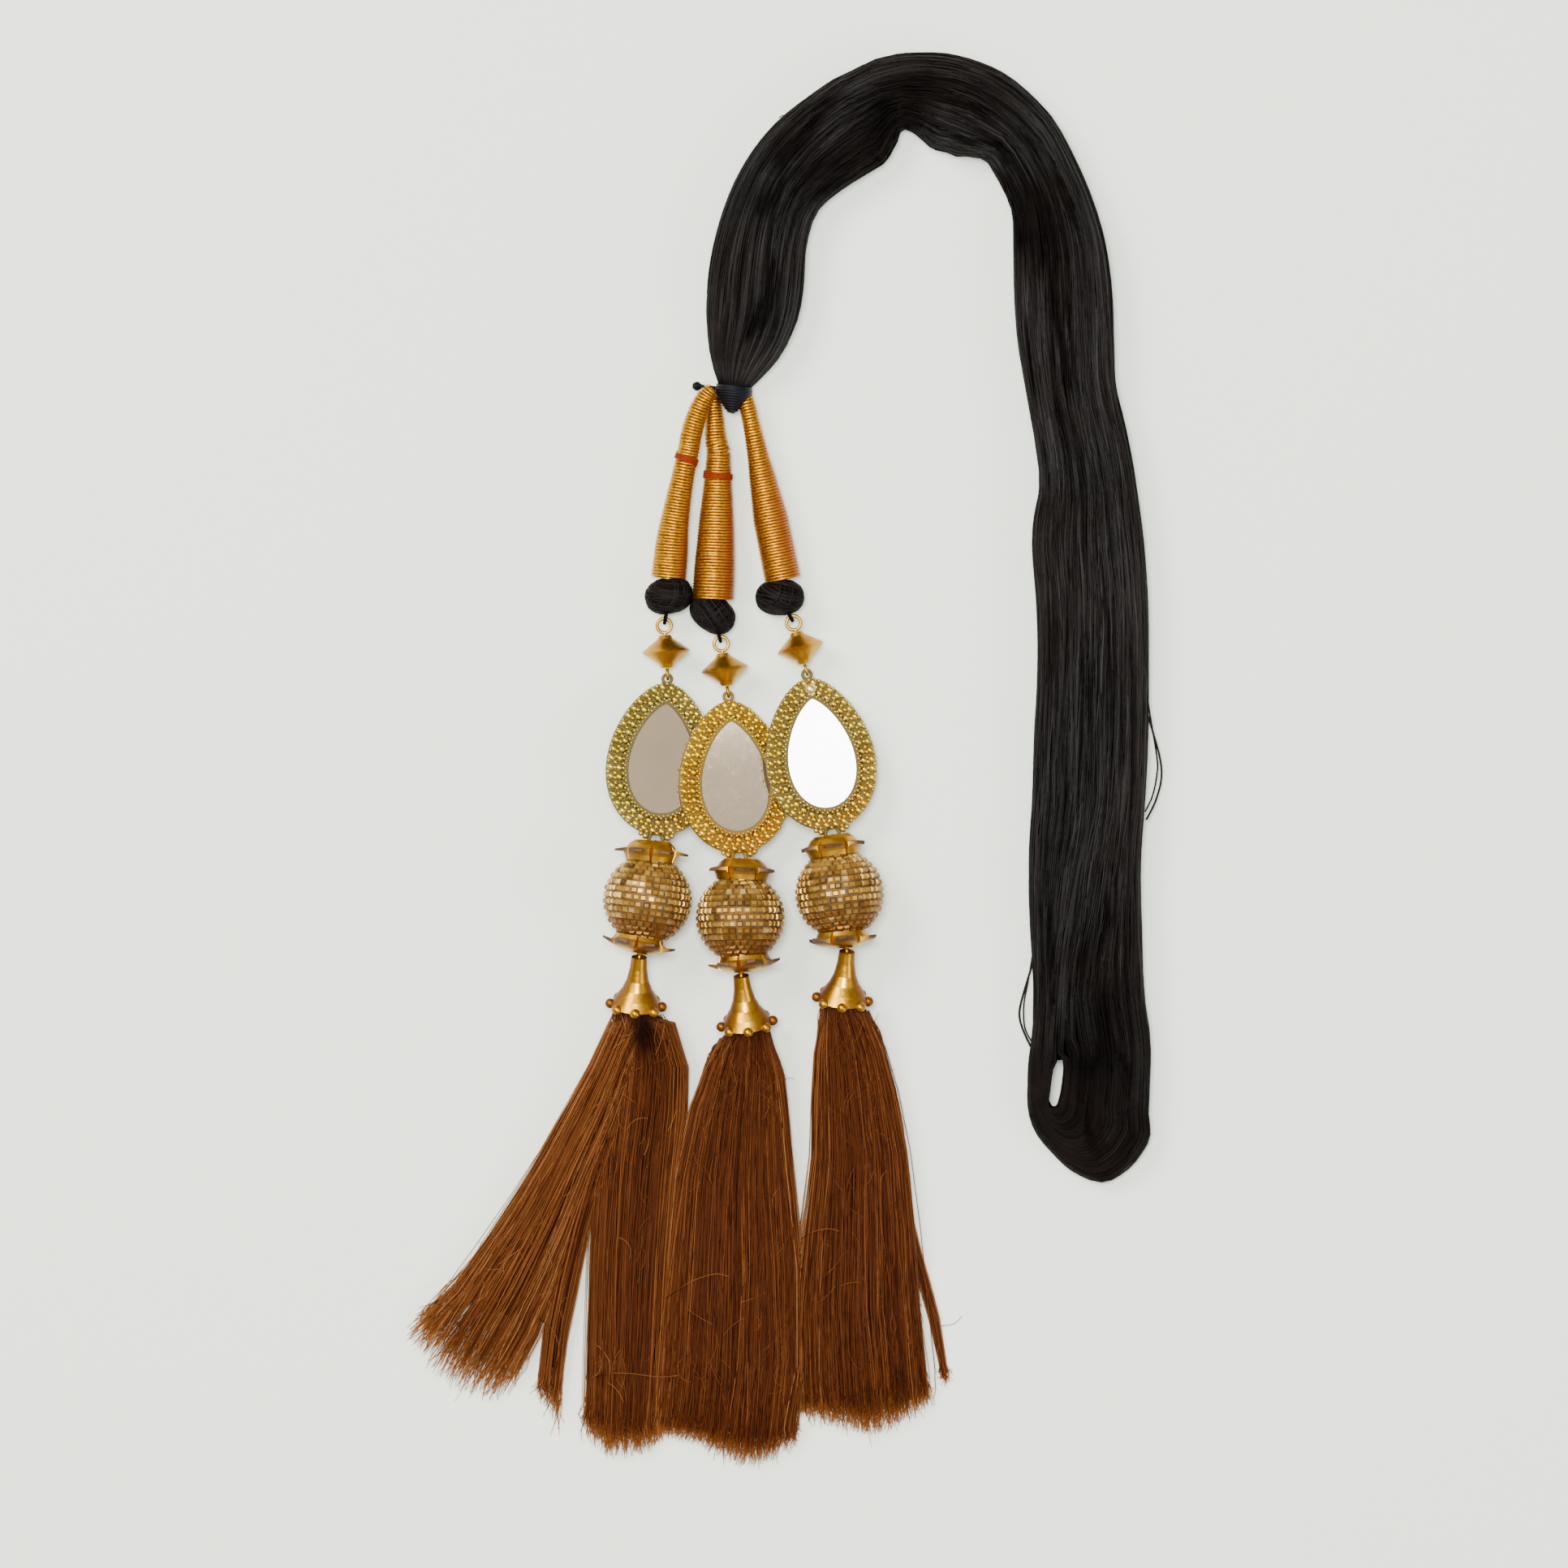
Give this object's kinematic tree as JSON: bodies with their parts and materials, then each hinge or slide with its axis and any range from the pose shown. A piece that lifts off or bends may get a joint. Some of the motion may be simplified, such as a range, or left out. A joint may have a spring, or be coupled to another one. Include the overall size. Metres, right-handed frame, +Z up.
{
  "type": "paranda",
  "caption": "Hair ornament for a plait: a hank of black thread tied to gold cords that each carry a bead, a mirror in a granulated frame, a studded ball and a brown tassel.",
  "frame": {"origin": "on the surface the object lies on, under the middle of the laid out object", "axes": "+Z up from the surface, +Y towards the top of the arch of the hank, +X towards the long leg of the hank"},
  "size_m": [0.1808, 0.3488, 0.022],
  "materials": {
    "black_thread": "loose satin threads in a hank, wound thread on the tie and the knots",
    "gold_cord": "metallic thread wound tightly round a core",
    "red_thread": "wound thread",
    "bright_gold": "polished, warm gold tone",
    "frame_gold": "granulated, antique gold with dark gaps",
    "ball_stones": "rows of small champagne stones",
    "mirror_glass": "silvered, clear",
    "brown_thread": "fine loose silky threads"
  },
  "bodies": {
    "root": {"thread_hank": "black_thread", "hank_tie": "black_thread", "red_band_left": "red_thread", "red_band_middle": "red_thread", "zari_roll_left": "gold_cord", "zari_roll_middle": "gold_cord", "zari_roll_right": "gold_cord", "thread_knot_left": "black_thread", "thread_knot_middle": "black_thread", "thread_knot_right": "black_thread", "eye_pin_left": "bright_gold", "eye_pin_middle": "bright_gold", "eye_pin_right": "bright_gold", "bicone_bead_left": "bright_gold", "bicone_bead_middle": "bright_gold", "bicone_bead_right": "bright_gold", "mirror_frame_left": "frame_gold", "mirror_frame_middle": "frame_gold", "mirror_frame_right": "frame_gold", "mirror_left": "mirror_glass", "mirror_middle": "mirror_glass", "mirror_right": "mirror_glass", "ball_pin_left": "bright_gold", "ball_pin_middle": "bright_gold", "ball_pin_right": "bright_gold", "upper_cap_left": "bright_gold", "upper_cap_middle": "bright_gold", "upper_cap_right": "bright_gold", "studded_ball_left": "ball_stones", "studded_ball_middle": "ball_stones", "studded_ball_right": "ball_stones", "lower_cap_left": "bright_gold", "lower_cap_middle": "bright_gold", "lower_cap_right": "bright_gold", "neck_bead_left": "bright_gold", "neck_bead_middle": "bright_gold", "neck_bead_right": "bright_gold", "tassel_cone_left": "bright_gold", "tassel_cone_middle": "bright_gold", "tassel_cone_right": "bright_gold", "tassel_left": "brown_thread", "tassel_middle": "brown_thread", "tassel_right": "brown_thread"}
  },
  "joints": []
}
